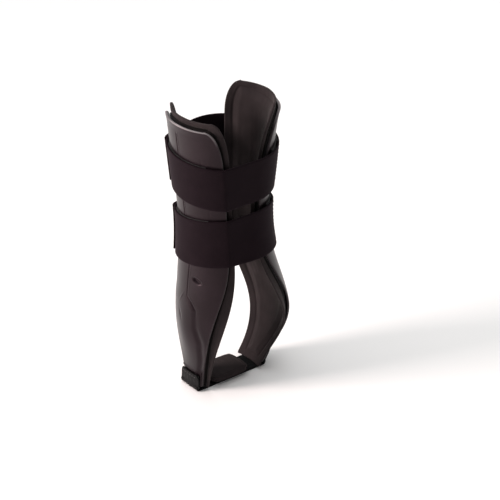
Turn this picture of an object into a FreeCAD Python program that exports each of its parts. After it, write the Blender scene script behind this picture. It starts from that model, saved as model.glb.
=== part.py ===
import FreeCAD, Part
import math
import os

import Sketcher

# Ankle stirrup brace for a right foot: two padded shells, two straps and a heel strap.
# Millimetres, +Z up, toes towards -Y, the outer (lateral) side of the ankle towards -X.
# The origin is the middle of the heel strap's underside, which is what the brace stands on.
# Every curved layer is a strip of a circle at each height. A side's layers share centres, so
# each one is an offset of the outer face of that side's shell.

doc = FreeCAD.newDocument("ankle_brace")

DIMENSIONS = {
    "shell_bottom": 4, "shell_top": 252, "pad_bottom": 2.5, "pad_top": 258,
    "shell_thickness": 2.2, "hook_thickness": 0.8, "backing_thickness": 0.8,
    "foam_thickness": 4, "lining_thickness": 0.8, "layer_gap": 0.1,
    "strap_thickness": 1.6, "strap_clearance": 0.4, "tab_hook_thickness": 0.7,
    "fold_gap": 2.4, "tab_gap": 2, "pad_margin_back": 4,
    "upper_strap_low": 184, "upper_strap_high": 222.5, "upper_strap_slope": 0.098,
    "lower_strap_low": 125, "lower_strap_high": 167, "lower_strap_slope": -0.105,
    "tab_end_angle": 6, "tab_fold_angle": 40, "rear_end_angle": -22, "rear_hook_angle": -48,
    "lateral_patch_angle": 34, "medial_patch_front": 62, "medial_patch_back": -50,
    "port_height": 112, "port_y": -16, "port_width": 5, "port_length": 7,
    "corner_front_width": 11, "corner_front_height": 38,
    "corner_front_radius": 8, "corner_back_width": 11, "corner_back_height": 22,
    "corner_back_radius": 8, "corner_reach": 14, "trim_reach": 300,
    "lower_pad_hook_low": 44, "middle_pad_hook_low": 94, "upper_pad_hook_low": 203,
    "lower_pad_hook_angle": 9, "middle_pad_hook_angle": 24, "upper_pad_hook_angle": 26,
    "pad_hook_height": 27, "heel_half_length": 36, "heel_half_width": 11.5,
    "heel_thickness": 1.6, "heel_corner": 2, "heel_tab_bottom": 2.2, "heel_tab_top": 17,
    "heel_tab_angle": 11, "heel_hook_bottom": 5.5, "heel_hook_top": 15.5, "heel_hook_angle": 10,
    "heel_pad_half_length": 21, "heel_pad_half_width": 16, "heel_pad_corner": 6,
    "heel_foam_thickness": 4.5,
}

# Height, then for each side: outermost x, centre y, radius, front and back edge angles from
# the sideways direction. The last value is how far the pad's front edge passes the shell's.
STATIONS = [
    (4, 33.2, 0, 59.7, 12.5, 12, 35.8, 0, 59.8, 12.5, 12, 3.5),
    (20, 35.2, -2.7, 55.5, 15, 13.5, 43, -2.5, 57, 15, 13.5, 5),
    (40, 37.9, -4.4, 50.3, 21, 21.5, 52.5, -4.6, 52.3, 21.5, 21.5, 7.2),
    (64, 41, -5, 45, 32, 34, 56, -6, 46, 32.5, 34, 10.2),
    (92, 41.1, -5, 41.2, 46.5, 45.5, 50.4, -6.1, 40.3, 48, 45.5, 10.3),
    (119, 39.3, -4.6, 38.9, 57, 49.2, 42.9, -4.3, 36.9, 63.3, 49.2, 6.8),
    (146, 38, -4, 38, 58, 50.1, 39.6, -1.8, 34.9, 74.6, 50.1, 5),
    (174, 38.9, -3.3, 39, 56.4, 52.5, 40.9, -0.4, 34.1, 78.6, 52.5, 5),
    (203, 41.4, -3, 41.4, 54.7, 54, 44.4, 0, 35.3, 75.1, 54, 5),
    (230, 43.9, -2.9, 43.9, 52.3, 52.5, 46.8, 0.1, 38.6, 66.7, 52.5, 5),
    (252, 46, -3, 46, 50, 50, 50, 0, 42, 58, 50, 5),
]
STATION_NAMES = (
    "height", "lateral_side", "lateral_centre", "lateral_radius", "lateral_front",
    "lateral_back", "medial_side", "medial_centre", "medial_radius", "medial_front",
    "medial_back", "pad_margin",
)
ALL_ROWS = range(len(STATIONS))
LOWER_ROWS = (5, 6, 7)
UPPER_ROWS = (7, 8, 9)
CORNER_ROW = 9
SIDES = ("lateral", "medial")

sheet = doc.addObject("Spreadsheet::Sheet", "sizes")
cells = list(DIMENSIONS.items())
for row, values in enumerate(STATIONS):
    cells += [(f"{name}_row{row}", value) for name, value in zip(STATION_NAMES, values)]
for line, (name, value) in enumerate(cells, start=1):
    sheet.set(f"A{line}", name)
    sheet.set(f"B{line}", str(value))
    sheet.setAlias(f"B{line}", name)
doc.recompute()

# Depth from the shell's outer face: positive outwards.
PATCH_INNER = "sizes.layer_gap"
PATCH_OUTER = f"{PATCH_INNER} + sizes.hook_thickness"
BAND_INNER = f"{PATCH_OUTER} + sizes.layer_gap"
BAND_OUTER = f"{BAND_INNER} + sizes.strap_thickness"
TAB_HOOK_INNER = f"{PATCH_OUTER} + sizes.strap_clearance"
TAB_HOOK_OUTER = f"{TAB_HOOK_INNER} + sizes.tab_hook_thickness"
FLAP_INNER = f"{TAB_HOOK_OUTER} + sizes.layer_gap"
FLAP_OUTER = f"{FLAP_INNER} + sizes.strap_thickness"


def number(owner, expression):
    value = owner.evalExpression(expression)
    return float(getattr(value, "Value", value))


def new_body(label):
    body = doc.addObject("PartDesign::Body", label)
    body.Label = label
    body.Placement = FreeCAD.Placement()
    return body


def new_sketch(body, name, plane, height=None):
    sketch = body.newObject("Sketcher::SketchObject", name)
    support = next(item for item in body.Origin.OriginFeatures if item.Role == plane)
    sketch.AttachmentSupport = (support, [""])
    sketch.MapMode = "FlatFace"
    if height is not None:
        sketch.setExpression("AttachmentOffset.Base.z", height)
    return sketch


def bind(sketch, kind, where, expression):
    """Adds a size to a sketch and ties it to the sheet."""
    value = number(sketch, expression)
    if kind == "Angle":
        value = math.radians(value)
    index = sketch.addConstraint(Sketcher.Constraint(kind, *where, value))
    sketch.setExpression(f"Constraints[{index}]", expression)


def fix(sketch, kind, *where):
    sketch.addConstraint(Sketcher.Constraint(kind, *where))


def centre_of(side, row):
    sign = "-1" if side == "lateral" else "1"
    offset = f"(sizes.{side}_side_row{row} - sizes.{side}_radius_row{row})"
    return f"{sign} * {offset}", f"sizes.{side}_centre_row{row}"


def heading(side, angle):
    """Turns an angle measured from the sideways direction, front positive, into a heading."""
    return f"180 + ({angle})" if side == "lateral" else f"-({angle})"


def strip_section(sketch, side, row, inner, outer, back, front):
    """Draws one strip of a circle between two offsets and two edge angles."""
    x, y = centre_of(side, row)
    radii = [f"sizes.{side}_radius_row{row} + ({offset})" for offset in (outer, inner)]
    ends = [heading(side, back), heading(side, front)]
    if side == "medial":
        ends.reverse()
    middle = FreeCAD.Vector(number(sketch, x), number(sketch, y), 0)
    turn = [math.radians(number(sketch, end)) for end in ends]
    for radius in radii:
        circle = Part.Circle(middle, FreeCAD.Vector(0, 0, 1), number(sketch, radius))
        sketch.addGeometry(Part.ArcOfCircle(circle, *turn))
    for angle in turn:
        way = FreeCAD.Vector(math.cos(angle), math.sin(angle), 0)
        points = [middle + way * number(sketch, radius) for radius in reversed(radii)]
        sketch.addGeometry(Part.LineSegment(*points))
    fix(sketch, "Coincident", 0, 3, 1, 3)
    for line, corner in ((2, 1), (3, 2)):
        fix(sketch, "Coincident", line, 1, 1, corner)
        fix(sketch, "Coincident", line, 2, 0, corner)
        fix(sketch, "PointOnObject", 0, 3, line)
    bind(sketch, "DistanceX", (0, 3), x)
    bind(sketch, "DistanceY", (0, 3), y)
    for arc, radius in enumerate(radii):
        bind(sketch, "Radius", (arc,), radius)
    for line, end in zip((2, 3), ends):
        bind(sketch, "Angle", (line,), end)


def flap_section(sketch, row, turn, end_angle):
    """Draws a strap's free tail: straight off the lateral shell, then round the medial one.

    turn is 1 for the front tail and -1 for the rear one.
    """
    edge = "front" if turn > 0 else "back"
    lateral_x, lateral_y = centre_of("lateral", row)
    reach = f"(sizes.lateral_radius_row{row} + {BAND_OUTER})"
    start = f"(sizes.lateral_{edge}_row{row} + sizes.fold_gap / {reach} * 180 / pi) * 1 deg"
    ax = f"{lateral_x} - {reach} * cos({start})"
    ay = f"{lateral_y} - {turn} * {reach} * sin({start})"
    x, y = centre_of("medial", row)
    radii = [f"sizes.medial_radius_row{row} + {offset}" for offset in (FLAP_OUTER, FLAP_INNER)]
    end = heading("medial", end_angle)

    middle = FreeCAD.Vector(number(sketch, x), number(sketch, y), 0)
    first = FreeCAD.Vector(number(sketch, ax), number(sketch, ay), 0)
    outer, inner = (number(sketch, radius) for radius in radii)
    gap = first - middle
    tangent = math.atan2(gap.y, gap.x) + turn * math.acos(outer / gap.Length)
    finish = math.radians(number(sketch, end))
    touch = FreeCAD.Vector(math.cos(tangent), math.sin(tangent), 0)
    way = FreeCAD.Vector(math.cos(finish), math.sin(finish), 0)
    second = first - touch * (outer - inner)
    span = sorted((tangent, finish))
    for radius in (outer, inner):
        circle = Part.Circle(middle, FreeCAD.Vector(0, 0, 1), radius)
        sketch.addGeometry(Part.ArcOfCircle(circle, *span))
    sketch.addGeometry(Part.LineSegment(first, middle + touch * outer))
    sketch.addGeometry(Part.LineSegment(second, middle + touch * inner))
    sketch.addGeometry(Part.LineSegment(second, first))
    sketch.addGeometry(Part.LineSegment(middle + way * inner, middle + way * outer))

    at_tangent, at_finish = (1, 2) if turn > 0 else (2, 1)
    fix(sketch, "Tangent", 2, 2, 0, at_tangent)
    fix(sketch, "Tangent", 3, 2, 1, at_tangent)
    fix(sketch, "Coincident", 4, 1, 3, 1)
    fix(sketch, "Coincident", 4, 2, 2, 1)
    fix(sketch, "Coincident", 5, 1, 1, at_finish)
    fix(sketch, "Coincident", 5, 2, 0, at_finish)
    fix(sketch, "Coincident", 0, 3, 1, 3)
    fix(sketch, "PointOnObject", 0, 3, 5)
    fix(sketch, "Parallel", 2, 3)
    fix(sketch, "Perpendicular", 2, 4)
    bind(sketch, "DistanceX", (0, 3), x)
    bind(sketch, "DistanceY", (0, 3), y)
    bind(sketch, "Radius", (0,), radii[0])
    bind(sketch, "Radius", (1,), radii[1])
    bind(sketch, "DistanceX", (2, 1), ax)
    bind(sketch, "DistanceY", (2, 1), ay)
    bind(sketch, "Angle", (5,), end)


def loft(body, sketches):
    feature = body.newObject("PartDesign::AdditiveLoft", f"{body.Name}_loft")
    feature.Profile = sketches[0]
    feature.Sections = sketches[1:]
    doc.recompute()
    return feature


def cut(body, sketch):
    """Cuts a side-view outline right through the body, and checks that it removed something."""
    before = body.Shape.Volume
    pocket = body.newObject("PartDesign::Pocket", f"{sketch.Name}_cut")
    pocket.Profile = sketch
    pocket.Type = "ThroughAll"
    pocket.SideType = "Symmetric"
    doc.recompute()
    if body.Shape.Volume > before - 0.5:
        raise RuntimeError(f"{sketch.Name} cut nothing")


def polygon(sketch, corners):
    """Draws a closed outline whose corners are all tied to the sheet."""
    first = sketch.GeometryCount
    points = [FreeCAD.Vector(number(sketch, x), number(sketch, y), 0) for x, y in corners]
    count = len(points)
    for index in range(count):
        sketch.addGeometry(Part.LineSegment(points[index], points[(index + 1) % count]))
    for index, (x, y) in enumerate(corners):
        fix(sketch, "Coincident", first + index, 2, first + (index + 1) % count, 1)
        bind(sketch, "DistanceX", (first + index, 1), x)
        bind(sketch, "DistanceY", (first + index, 1), y)


def trim(body, low, high, slope="0"):
    """Cuts a strip of strap off above and below, along edges that slope from front to back."""
    sketch = new_sketch(body, f"{body.Name}_trim", "YZ_Plane")
    for edge, away in ((low, "-"), (high, "+")):
        far = f"{edge} {away} sizes.trim_reach"
        polygon(sketch, [
            ("-sizes.trim_reach", f"{edge} - ({slope}) * sizes.trim_reach"),
            ("sizes.trim_reach", f"{edge} + ({slope}) * sizes.trim_reach"),
            ("sizes.trim_reach", far),
            ("-sizes.trim_reach", far),
        ])
    cut(body, sketch)


def corner(sketch, edge, top, inward, size):
    """Draws the waste outside a tall rounded corner: a long arc, then a tight one.

    inward is 1 for the front corner and -1 for the back one.
    """
    first = sketch.GeometryCount
    width, height, radius = (f"sizes.corner_{size}_{name}" for name in ("width", "height", "radius"))
    w, h, r = (number(sketch, name) for name in (width, height, radius))
    y, z = number(sketch, edge), number(sketch, top)
    long_radius = (w * w + (h - r) ** 2 - r * r) / (2 * (w - r))
    low_centre = FreeCAD.Vector(y + inward * long_radius, z - h, 0)
    top_centre = FreeCAD.Vector(y + inward * w, z - r, 0)
    meet = math.atan2(top_centre.y - low_centre.y, top_centre.x - low_centre.x)
    side = math.pi if inward > 0 else 0
    for centre, size_mm, turn in (
        (low_centre, long_radius, sorted((meet, side))),
        (top_centre, r, sorted((meet, math.pi / 2))),
    ):
        circle = Part.Circle(centre, FreeCAD.Vector(0, 0, 1), size_mm)
        sketch.addGeometry(Part.ArcOfCircle(circle, *turn))
    reach = number(sketch, "sizes.corner_reach")
    start = FreeCAD.Vector(y, z - h, 0)
    finish = FreeCAD.Vector(y + inward * w, z, 0)
    over = FreeCAD.Vector(finish.x, z + reach, 0)
    out = FreeCAD.Vector(y - inward * reach, z + reach, 0)
    down = FreeCAD.Vector(out.x, z - h, 0)
    path = (finish, over, out, down, start)
    for begin, end in zip(path, path[1:]):
        sketch.addGeometry(Part.LineSegment(begin, end))
    arc, tight, rise, across, drop, back = range(first, first + 6)
    on_arc = (2, 1) if inward > 0 else (1, 2)
    on_tight = (1, 2) if inward > 0 else (2, 1)
    fix(sketch, "Tangent", arc, on_arc[1], tight, on_tight[1])
    fix(sketch, "Coincident", tight, on_tight[0], rise, 1)
    fix(sketch, "Coincident", rise, 2, across, 1)
    fix(sketch, "Coincident", across, 2, drop, 1)
    fix(sketch, "Coincident", drop, 2, back, 1)
    fix(sketch, "Coincident", back, 2, arc, on_arc[0])
    fix(sketch, "Vertical", rise)
    fix(sketch, "Horizontal", across)
    fix(sketch, "Vertical", drop)
    fix(sketch, "Horizontal", back)
    fix(sketch, "Horizontal", arc, 3, arc, on_arc[0])
    fix(sketch, "Vertical", tight, 3, tight, on_tight[0])
    bind(sketch, "DistanceX", (arc, on_arc[0]), edge)
    bind(sketch, "DistanceY", (arc, on_arc[0]), f"{top} - {height}")
    bind(sketch, "DistanceX", (tight, on_tight[0]), f"{edge} + {inward} * {width}")
    bind(sketch, "DistanceY", (tight, on_tight[0]), top)
    bind(sketch, "Radius", (tight,), radius)
    bind(sketch, "DistanceY", (rise, 2), f"{top} + sizes.corner_reach")
    bind(sketch, "DistanceX", (drop, 1), f"{edge} - {inward} * sizes.corner_reach")


def strip(label, side, rows, inner, outer, back, front, heights=None):
    """Lofts a strip along a side. back, front and heights are functions of the row."""
    body = new_body(label)
    sketches = []
    for row in rows:
        height = heights(row) if heights else f"sizes.height_row{row}"
        sketch = new_sketch(body, f"{label}_at_row{row}", "XY_Plane", height)
        strip_section(sketch, side, row, inner, outer, back(row), front(row))
        sketches.append(sketch)
    loft(body, sketches)
    return body


def full_height(bottom, top):
    ends = {0: bottom, len(STATIONS) - 1: top}
    return lambda row: ends.get(row, f"sizes.height_row{row}")


def edge_y(side, which, margin="0"):
    """Where a side's front or back edge lies at the height that its rounded corner starts at."""
    row = CORNER_ROW
    y = centre_of(side, row)[1]
    turn = -1 if which == "front" else 1
    angle = f"(sizes.{side}_{which}_row{row} + {margin} / sizes.{side}_radius_row{row} * 180 / pi)"
    return f"{y} + {turn} * sizes.{side}_radius_row{row} * sin({angle} * 1 deg)"


def round_top(body, side, top, front_margin, back_margin):
    sketch = new_sketch(body, f"{body.Name}_corners", "YZ_Plane")
    corner(sketch, edge_y(side, "front", front_margin), top, 1, "front")
    corner(sketch, edge_y(side, "back", back_margin), top, -1, "back")
    cut(body, sketch)


def make_shell(side):
    """A moulded shell with rounded top corners and an oval port with a sunk rim."""
    heights = full_height("sizes.shell_bottom", "sizes.shell_top")
    body = strip(
        f"{side}_shell", side, ALL_ROWS, "-sizes.shell_thickness", "0",
        lambda row: f"-sizes.{side}_back_row{row}", lambda row: f"sizes.{side}_front_row{row}",
        heights,
    )
    round_top(body, side, "sizes.shell_top", "0", "0")
    sketch = new_sketch(body, f"{side}_port", "YZ_Plane")
    centre = FreeCAD.Vector(number(sketch, "sizes.port_y"), number(sketch, "sizes.port_height"), 0)
    half = (number(sketch, "sizes.port_length") - number(sketch, "sizes.port_width")) / 2
    radius = number(sketch, "sizes.port_width") / 2
    for way, turn in ((-1, (math.pi / 2, 1.5 * math.pi)), (1, (-math.pi / 2, math.pi / 2))):
        middle = centre + FreeCAD.Vector(way * half, 0, 0)
        circle = Part.Circle(middle, FreeCAD.Vector(0, 0, 1), radius)
        sketch.addGeometry(Part.ArcOfCircle(circle, *turn))
    for rise in (-1, 1):
        ends = [centre + FreeCAD.Vector(way * half, rise * radius, 0) for way in (-1, 1)]
        sketch.addGeometry(Part.LineSegment(*ends))
    fix(sketch, "Tangent", 2, 1, 0, 2)
    fix(sketch, "Tangent", 2, 2, 1, 1)
    fix(sketch, "Tangent", 3, 1, 0, 1)
    fix(sketch, "Tangent", 3, 2, 1, 2)
    fix(sketch, "Horizontal", 2)
    bind(sketch, "Radius", (0,), "sizes.port_width / 2")
    for arc, way in ((0, "-"), (1, "+")):
        place = f"sizes.port_y {way} (sizes.port_length - sizes.port_width) / 2"
        bind(sketch, "DistanceX", (arc, 3), place)
    bind(sketch, "DistanceY", (0, 3), "sizes.port_height")
    cut(body, sketch)


def make_pad(side):
    """The liner: a brushed backing, foam and a lining, each a full-height layer."""
    heights = full_height("sizes.pad_bottom", "sizes.pad_top")
    depth = "sizes.shell_thickness + sizes.hook_thickness + 2 * sizes.layer_gap"

    def back(row):
        extra = f"sizes.pad_margin_back / sizes.{side}_radius_row{row} * 180 / pi"
        return f"-(sizes.{side}_back_row{row} + {extra})"

    def front(row):
        extra = f"sizes.pad_margin_row{row} / sizes.{side}_radius_row{row} * 180 / pi"
        return f"sizes.{side}_front_row{row} + {extra}"

    for layer in ("backing", "foam", "lining"):
        deeper = f"{depth} + sizes.{layer}_thickness"
        body = strip(
            f"{side}_pad_{layer}", side, ALL_ROWS, f"-({deeper})", f"-({depth})",
            back, front, heights,
        )
        margin = f"sizes.pad_margin_row{CORNER_ROW}"
        round_top(body, side, "sizes.pad_top", margin, "sizes.pad_margin_back")
        depth = f"{deeper} + sizes.layer_gap"


def make_pad_hooks(side):
    """Hook patches that hold the liner inside the shell."""
    near = "sizes.shell_thickness + sizes.layer_gap"
    far = f"{near} + sizes.hook_thickness"
    for name in ("lower", "middle", "upper"):
        angle = f"sizes.{name}_pad_hook_angle"
        patch = strip(
            f"{side}_{name}_pad_hook", side, ALL_ROWS, f"-({far})", f"-({near})",
            lambda row: f"-{angle}", lambda row: angle,
        )
        low = f"sizes.{name}_pad_hook_low"
        trim(patch, low, f"({low} + sizes.pad_hook_height)")


def make_heel_tab(side):
    """The heel strap's end on the outside of a shell, and the hook patch that it grips."""
    for name, inner, outer, heights in (
        ("heel_tab", TAB_HOOK_INNER, f"{TAB_HOOK_INNER} + sizes.strap_thickness",
         full_height("sizes.heel_tab_bottom", "sizes.shell_top")),
        ("heel_hook", PATCH_INNER, PATCH_OUTER, None),
    ):
        angle = f"sizes.{name}_angle"
        body = strip(
            f"{side}_{name}", side, ALL_ROWS, inner, outer, lambda row: f"-{angle}",
            lambda row: angle, heights,
        )
        trim(body, f"sizes.{name}_bottom", f"sizes.{name}_top")


def make_strap(level, rows):
    """A strap: a band fixed on the lateral shell, and two tails that grip the medial shell."""
    edges = (f"sizes.{level}_strap_low", f"sizes.{level}_strap_high", f"sizes.{level}_strap_slope")
    name = f"{level}_strap"

    def piece(label, side, inner, outer, back, front, through=rows):
        trim(strip(label, side, through, inner, outer, back, front), *edges)

    def same(angle):
        return lambda row: angle

    piece(
        f"{name}_band", "lateral", BAND_INNER, BAND_OUTER,
        lambda row: f"-sizes.lateral_back_row{row}", lambda row: f"sizes.lateral_front_row{row}",
    )
    piece(
        f"{name}_anchor_hook", "lateral", PATCH_INNER, PATCH_OUTER,
        same("-sizes.lateral_patch_angle"), same("sizes.lateral_patch_angle"),
    )
    piece(
        f"{name}_medial_patch", "medial", PATCH_INNER, PATCH_OUTER,
        same("sizes.medial_patch_back"), same("sizes.medial_patch_front"), ALL_ROWS,
    )
    piece(
        f"{name}_tab", "medial", FLAP_INNER, FLAP_OUTER,
        same("sizes.tab_end_angle"), same("sizes.tab_fold_angle"),
    )
    piece(
        f"{name}_tab_hook", "medial", TAB_HOOK_INNER, TAB_HOOK_OUTER,
        same("sizes.tab_end_angle + 2"), same("sizes.tab_fold_angle - 1"),
    )
    piece(
        f"{name}_rear_hook", "medial", TAB_HOOK_INNER, TAB_HOOK_OUTER,
        same("sizes.rear_hook_angle"), same("sizes.rear_end_angle - 2"),
    )
    for tail, turn in (("front", 1), ("rear", -1)):
        body = new_body(f"{name}_{tail}")
        sketches = []
        for row in rows:
            sketch = new_sketch(
                body, f"{name}_{tail}_at_row{row}", "XY_Plane", f"sizes.height_row{row}")
            gap = f"sizes.tab_gap / sizes.medial_radius_row{row} * 180 / pi"
            end = f"sizes.tab_fold_angle + {gap}" if turn > 0 else "sizes.rear_end_angle"
            flap_section(sketch, row, turn, end)
            sketches.append(sketch)
        loft(body, sketches)
        trim(body, *edges)


def make_flat(label, half_length, half_width, bottom, thickness, radius):
    """A flat layer of the heel strap or heel pad, with rounded corners."""
    body = new_body(label)
    sketch = new_sketch(body, f"{label}_outline", "XY_Plane", bottom)
    polygon(sketch, [
        (f"-{half_length}", f"-{half_width}"), (half_length, f"-{half_width}"),
        (half_length, half_width), (f"-{half_length}", half_width),
    ])
    pad = body.newObject("PartDesign::Pad", f"{label}_pad")
    pad.Profile = sketch
    pad.setExpression("Length", thickness)
    doc.recompute()
    upright = [
        f"Edge{index}" for index, edge in enumerate(pad.Shape.Edges, start=1)
        if abs(edge.Vertexes[0].Z - edge.Vertexes[1].Z) > 0.1
    ]
    fillet = body.newObject("PartDesign::Fillet", f"{label}_corners")
    fillet.Base = (pad, upright)
    fillet.setExpression("Radius", radius)
    doc.recompute()


def make_heel():
    """The heel strap under the foot, and the padded rest that a patch holds on it."""
    gap = "sizes.layer_gap"
    make_flat(
        "heel_strap_base", "sizes.heel_half_length", "sizes.heel_half_width", "0",
        "sizes.heel_thickness", "sizes.heel_corner",
    )
    level = f"sizes.heel_thickness + {gap}"
    for label, thickness, shrink in (
        ("heel_pad_hook", "sizes.hook_thickness", 0.6),
        ("heel_pad_foam", "sizes.heel_foam_thickness", 1),
        ("heel_pad_lining", "sizes.lining_thickness", 1),
    ):
        make_flat(
            label, f"sizes.heel_pad_half_length * {shrink}", f"sizes.heel_pad_half_width * {shrink}",
            level, thickness, f"sizes.heel_pad_corner * {shrink}",
        )
        level = f"{level} + {thickness} + {gap}"


for side in SIDES:
    make_shell(side)
    make_pad(side)
    make_pad_hooks(side)
    make_heel_tab(side)
make_strap("upper", UPPER_ROWS)
make_strap("lower", LOWER_ROWS)
make_heel()
doc.recompute()

for item in doc.Objects:
    if "Invalid" in item.State or "Error" in item.State:
        raise RuntimeError(f"{item.Name} did not build: {item.State}")

os.makedirs("parts", exist_ok=True)
bodies = [item for item in doc.Objects if item.TypeId == "PartDesign::Body"]
for body in bodies:
    shape = body.Shape
    if shape.isNull() or not shape.isValid():
        raise RuntimeError(f"{body.Label} is not a valid shape")
    if len(shape.Solids) != 1:
        raise RuntimeError(f"{body.Label} has {len(shape.Solids)} solids")
    print(f"{body.Label}: {shape.Volume / 1000:.2f} cm3")
    shape.exportStep(f"parts/{body.Label}.step")
print(f"{len(bodies)} sub-parts")
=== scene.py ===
import math
import bpy
import numpy as np
from mathutils import Matrix


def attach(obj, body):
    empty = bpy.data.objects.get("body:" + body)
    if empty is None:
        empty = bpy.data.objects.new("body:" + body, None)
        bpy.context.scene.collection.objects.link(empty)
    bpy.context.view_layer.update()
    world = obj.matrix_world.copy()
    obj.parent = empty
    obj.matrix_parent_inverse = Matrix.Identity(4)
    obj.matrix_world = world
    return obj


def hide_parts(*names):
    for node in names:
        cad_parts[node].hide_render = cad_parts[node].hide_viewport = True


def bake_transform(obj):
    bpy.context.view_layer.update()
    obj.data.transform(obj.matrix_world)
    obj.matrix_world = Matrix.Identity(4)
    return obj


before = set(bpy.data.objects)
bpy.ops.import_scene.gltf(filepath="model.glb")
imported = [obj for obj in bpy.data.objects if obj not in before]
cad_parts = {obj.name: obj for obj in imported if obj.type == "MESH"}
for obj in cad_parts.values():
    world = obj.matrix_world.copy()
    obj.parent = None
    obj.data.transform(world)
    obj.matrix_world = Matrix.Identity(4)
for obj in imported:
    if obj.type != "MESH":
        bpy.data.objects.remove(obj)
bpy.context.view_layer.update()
print("frame loaded:", len(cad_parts), "nodes")

# A right foot's stirrup brace, worked out in millimetres and put into the meshes in metres.
# At every height each layer is a strip of a circle: phi is the angle round it from straight
# sideways, positive towards the toes, and the offset is measured outwards from the shell's face.
mm = 0.001

brace = dict(
    height=[4, 20, 40, 64, 92, 119, 146, 174, 203, 230, 252],
    lateral=dict(
        side=[33.2, 35.2, 37.9, 41, 41.1, 39.3, 38, 38.9, 41.4, 43.9, 46],
        centre=[0, -2.7, -4.4, -5, -5, -4.6, -4, -3.3, -3, -2.9, -3],
        radius=[59.7, 55.5, 50.3, 45, 41.2, 38.9, 38, 39, 41.4, 43.9, 46],
        front=[12.5, 15, 21, 32, 46.5, 57, 58, 56.4, 54.7, 52.3, 50],
        back=[12, 13.5, 21.5, 34, 45.5, 49.2, 50.1, 52.5, 54, 52.5, 50],
    ),
    medial=dict(
        side=[35.8, 43, 52.5, 56, 50.4, 42.9, 39.6, 40.9, 44.4, 46.8, 50],
        centre=[0, -2.5, -4.6, -6, -6.1, -4.3, -1.8, -0.4, 0, 0.1, 0],
        radius=[59.8, 57, 52.3, 46, 40.3, 36.9, 34.9, 34.1, 35.3, 38.6, 42],
        front=[12.5, 15, 21.5, 32.5, 48, 63.3, 74.6, 78.6, 75.1, 66.7, 58],
        back=[12, 13.5, 21.5, 34, 45.5, 49.2, 50.1, 52.5, 54, 52.5, 50],
    ),
    padMargin=[3.5, 5, 7.2, 10.2, 10.3, 6.8, 5, 5, 5, 5, 5],
)
layers = dict(shell=2.2, patch=0.8, backing=0.8, strap=1.6, gap=0.1, grip=1.1)
signOf = dict(lateral=-1, medial=1)


def naturalCurve(x, y):
    # Natural cubic spline: solves for the second derivatives, then evaluates piece by piece.
    x, y = np.array(x, float), np.array(y, float)
    n, h = len(x), np.diff(x)
    inner = np.arange(1, n - 1)
    system, right = np.eye(n), np.zeros(n)
    system[inner, inner - 1] = h[:-1]
    system[inner, inner] = 2 * (h[:-1] + h[1:])
    system[inner, inner + 1] = h[1:]
    right[inner] = 6 * np.diff(np.diff(y) / h)
    bend = np.linalg.solve(system, right)

    def value(at):
        at = np.asarray(at, float)
        k = np.clip(np.searchsorted(x, at) - 1, 0, n - 2)
        a, b, w = x[k + 1] - at, at - x[k], h[k]
        curve = (bend[k] * a ** 3 + bend[k + 1] * b ** 3) / (6 * w)
        return curve + (y[k] / w - bend[k] * w / 6) * a + (y[k + 1] / w - bend[k + 1] * w / 6) * b

    return value


curves = {
    side: {key: naturalCurve(brace["height"], brace[side][key]) for key in brace[side]}
    for side in ("lateral", "medial")
}
padMargin = naturalCurve(brace["height"], brace["padMargin"])


def smoothStep(low, high, x):
    t = np.clip((np.asarray(x, float) - low) / (high - low), 0, 1)
    return t * t * (3 - 2 * t)


def ridge(x, width):
    return np.exp(-(x / width) ** 2)


def layerPoint(side, phi, z, offset):
    # Point on the circle of this height: centre plus (radius + offset) along phi.
    c = curves[side]
    radius = c["radius"](z) + offset
    x = signOf[side] * (c["side"](z) - c["radius"](z) + radius * np.cos(phi))
    y = c["centre"](z) - radius * np.sin(phi)
    return np.stack(np.broadcast_arrays(x, y, z), -1)


def spread(low, high, step, fine=()):
    # Sample places whose spacing is step, and closer round each (place, half width, spacing).
    x = np.linspace(low, high, 4000)
    density = np.full_like(x, 1 / step)
    for place, halfWidth, spacing in fine:
        density += np.exp(-((x - place) / halfWidth) ** 4) / spacing
    total = np.concatenate([[0], np.cumsum((density[1:] + density[:-1]) / 2 * np.diff(x))])
    return np.interp(np.linspace(0, total[-1], int(total[-1]) + 2), total, x)


def quads(rows, columns):
    # Faces of a grid whose vertices run along its columns first.
    a = (np.arange(rows - 1)[:, None] * columns + np.arange(columns - 1)[None, :]).ravel()
    return np.stack([a, a + 1, a + columns + 1, a + columns], 1)


def unit(v):
    return v / np.maximum(np.linalg.norm(v, axis=-1, keepdims=True), 1e-9)


def gridNormals(points):
    return unit(np.cross(np.gradient(points, axis=1), np.gradient(points, axis=0)))


def makeMesh(name, points, faces, uv=None):
    # points in millimetres; uv is one place per vertex, also in millimetres.
    mesh = bpy.data.meshes.new(name)
    mesh.vertices.add(len(points))
    mesh.vertices.foreach_set("co", (points * mm).astype(np.float32).ravel())
    mesh.loops.add(faces.size)
    mesh.loops.foreach_set("vertex_index", faces.astype(np.int32).ravel())
    mesh.polygons.add(len(faces))
    width = faces.shape[1]
    mesh.polygons.foreach_set("loop_start", np.arange(0, faces.size, width, dtype=np.int32))
    mesh.update(calc_edges=True)
    mesh.polygons.foreach_set("use_smooth", np.ones(len(faces), bool))
    if uv is not None:
        layer = mesh.uv_layers.new(name="cloth")
        layer.data.foreach_set("uv", (uv[faces.ravel()] * mm).astype(np.float32).ravel())
    mesh.validate()
    obj = bpy.data.objects.new(name, mesh)
    bpy.context.scene.collection.objects.link(obj)
    return obj


def facingOut(points, faces):
    # Turns a closed mesh's faces outwards if its signed volume is negative.
    a, b, c = (points[faces[:, k]] for k in range(3))
    d = points[faces[:, -1]]
    volume = np.einsum("ij,ij->i", a, np.cross(b, c)).sum() + np.einsum(
        "ij,ij->i", a, np.cross(c, d)).sum()
    return faces if volume > 0 else faces[:, ::-1]


def alongRows(points):
    # Distance along each row of a grid, from its first point.
    steps = np.linalg.norm(np.diff(points, axis=1), axis=-1)
    return np.concatenate([np.zeros((len(points), 1)), np.cumsum(steps, axis=1)], axis=1)


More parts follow.
